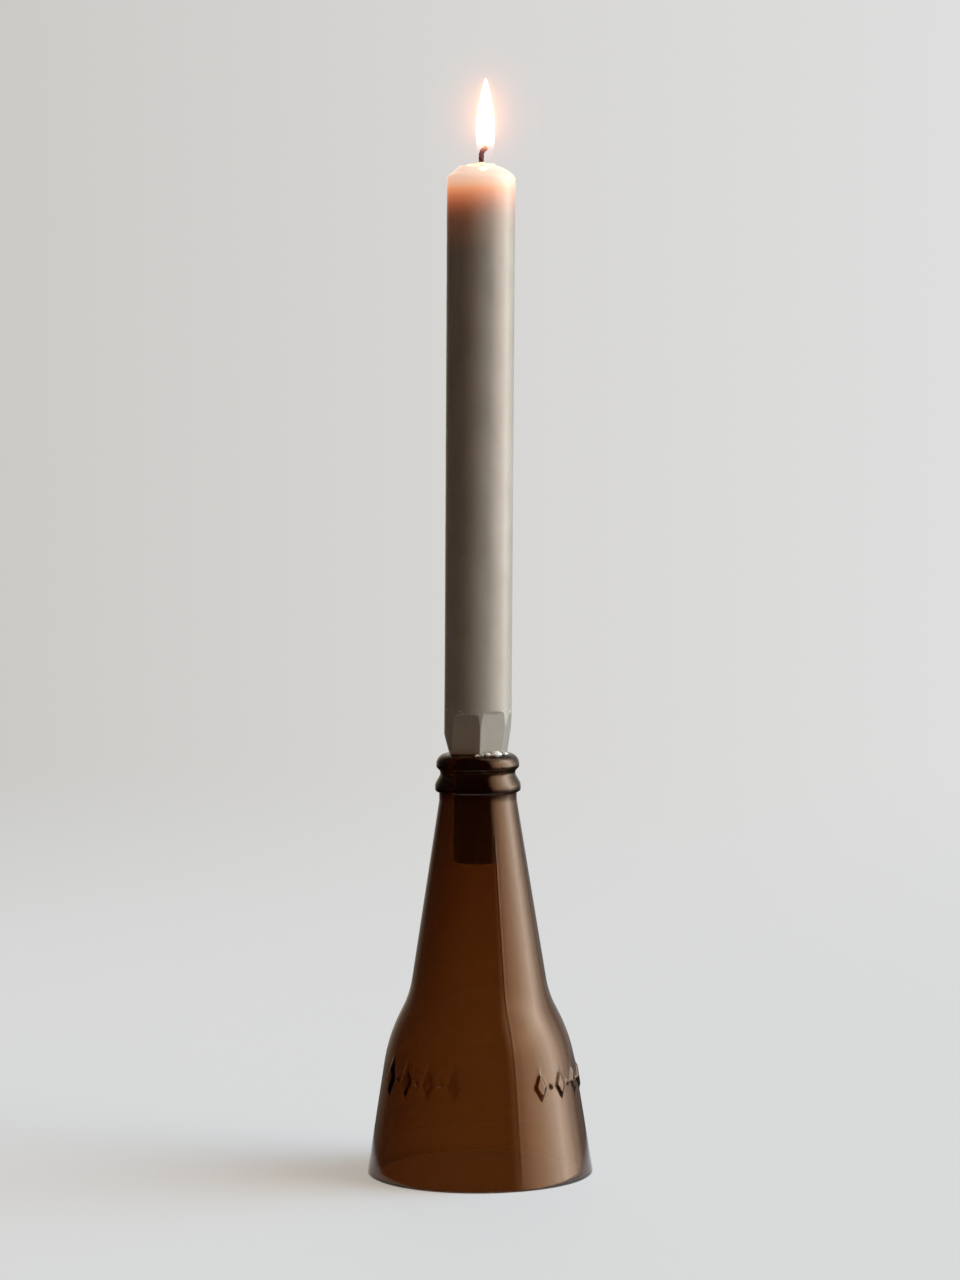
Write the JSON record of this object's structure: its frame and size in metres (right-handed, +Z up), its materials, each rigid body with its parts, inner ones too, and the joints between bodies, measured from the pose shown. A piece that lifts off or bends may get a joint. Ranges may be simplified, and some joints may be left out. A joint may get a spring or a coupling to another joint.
{
  "type": "glass candlestick",
  "caption": "Candlestick made of the cut-off top of an amber glass bottle, with a lit dinner candle whittled to fit its mouth.",
  "frame": {"origin": "centre of the cut rim, on the surface that the candlestick stands on", "axes": "+Z up along the axis of the glass, -Y to the front, +X to the viewer's right, the side that the candle leans to"},
  "size_m": [0.0724, 0.0724, 0.3498],
  "materials": {
    "amber_glass": "brown bottle glass, fire-polished, with a ground rim",
    "grey_wax": "grey candle wax, satin, a little translucent",
    "liquid_wax": "melted wax, wet",
    "cotton_wick": "braided cotton, charred at the top",
    "white_wax": "pale shavings of wax",
    "flame": "glowing"
  },
  "bodies": {
    "holder": {"glass_bottle_top": "amber_glass", "wax_crumbs": "white_wax"},
    "candle": {"candle_wax": "grey_wax", "wick": "cotton_wick", "melted_wax": "liquid_wax", "flame": "flame"}
  },
  "joints": [
    {"name": "candle_lift", "type": "slide", "parent": "holder", "child": "candle", "axis": [0.0122, 0, 0.9999], "range_m": [0, 0.045]}
  ]
}
